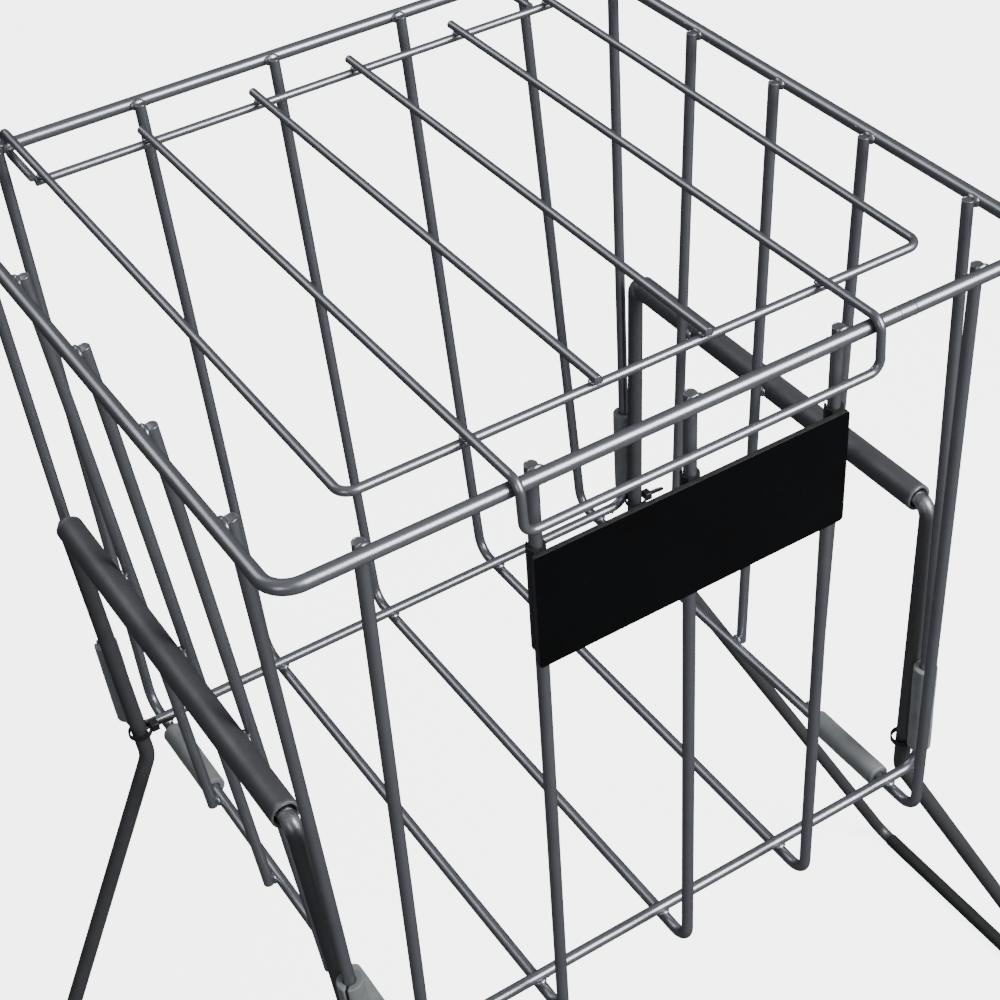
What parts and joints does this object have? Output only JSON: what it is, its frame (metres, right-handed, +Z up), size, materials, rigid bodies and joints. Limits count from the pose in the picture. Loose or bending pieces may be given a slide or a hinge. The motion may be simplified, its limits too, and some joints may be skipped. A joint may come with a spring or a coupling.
{
  "type": "tennis ball hopper",
  "caption": "Square welded wire basket that picks up and holds tennis balls, with a hinged wire lid and splayed wire legs that swing up over the rim as carrying handles.",
  "frame": {"origin": "on the floor, under the middle of the basket and of the whole object", "axes": "+Z up, +X along the front face with the name plate, to the right for someone who looks at that face, +Y from the front face to the back, where the lid hangs on the rim"},
  "size_m": [0.6622, 0.3356, 0.6809],
  "materials": {
    "wire_coat": "metallic grey powder coat on steel wire, satin",
    "tube_coat": "metallic grey powder coat on steel tube, satin",
    "leg_coat": "dark metallic powder coat on steel rod, satin",
    "sleeve_vinyl": "light grey vinyl tube, matt",
    "foot_vinyl": "black vinyl sleeve, matt",
    "tie_nylon": "black nylon",
    "plate_plastic": "black moulded plastic, satin gloss",
    "clip_plastic": "black moulded plastic"
  },
  "bodies": {
    "basket": {"top_rim": "wire_coat", "floor_hoop_1": "wire_coat", "floor_hoop_2": "wire_coat", "floor_hoop_3": "wire_coat", "floor_hoop_4": "wire_coat", "floor_hoop_5": "wire_coat", "cross_hoop_front": "wire_coat", "cross_hoop_back": "wire_coat", "side_wire_left_1": "wire_coat", "side_wire_left_2": "wire_coat", "side_wire_left_3": "wire_coat", "side_wire_right_1": "wire_coat", "side_wire_right_2": "wire_coat", "side_wire_right_3": "wire_coat", "pivot_tube_left": "tube_coat", "pivot_tube_right": "tube_coat", "post_sleeve_left_front": "sleeve_vinyl", "post_sleeve_left_back": "sleeve_vinyl", "post_sleeve_right_front": "sleeve_vinyl", "post_sleeve_right_back": "sleeve_vinyl", "run_sleeve_left_front": "sleeve_vinyl", "run_sleeve_left_back": "sleeve_vinyl", "run_sleeve_right_front": "sleeve_vinyl", "run_sleeve_right_back": "sleeve_vinyl", "front_plate": "plate_plastic", "plate_clip_left": "clip_plastic", "plate_clip_middle": "clip_plastic", "plate_clip_right": "clip_plastic"},
    "lid": {"lid_frame": "wire_coat", "lid_back_rod": "wire_coat", "lid_bar_left": "wire_coat", "lid_bar_right": "wire_coat", "latch_loop": "wire_coat"},
    "leg_left": {"leg_frame_left": "leg_coat", "foot_sleeve_left": "foot_vinyl", "cable_tie_left_front": "tie_nylon", "cable_tie_left_back": "tie_nylon"},
    "leg_right": {"leg_frame_right": "leg_coat", "foot_sleeve_right": "foot_vinyl", "cable_tie_right_front": "tie_nylon", "cable_tie_right_back": "tie_nylon"}
  },
  "joints": [
    {"name": "lid_hinge", "type": "hinge", "parent": "basket", "child": "lid", "pos_m": [0, 0.161, 0.6741], "axis": [-1, 0, 0], "range_deg": [0, 265]},
    {"name": "leg_left_swing", "type": "hinge", "parent": "basket", "child": "leg_left", "pos_m": [-0.15167, 0, 0.5211], "axis": [0, 1, 0], "range_deg": [0, 176.5]},
    {"name": "leg_right_swing", "type": "hinge", "parent": "basket", "child": "leg_right", "pos_m": [0.15167, 0, 0.5211], "axis": [0, -1, 0], "range_deg": [0, 176.5]}
  ]
}
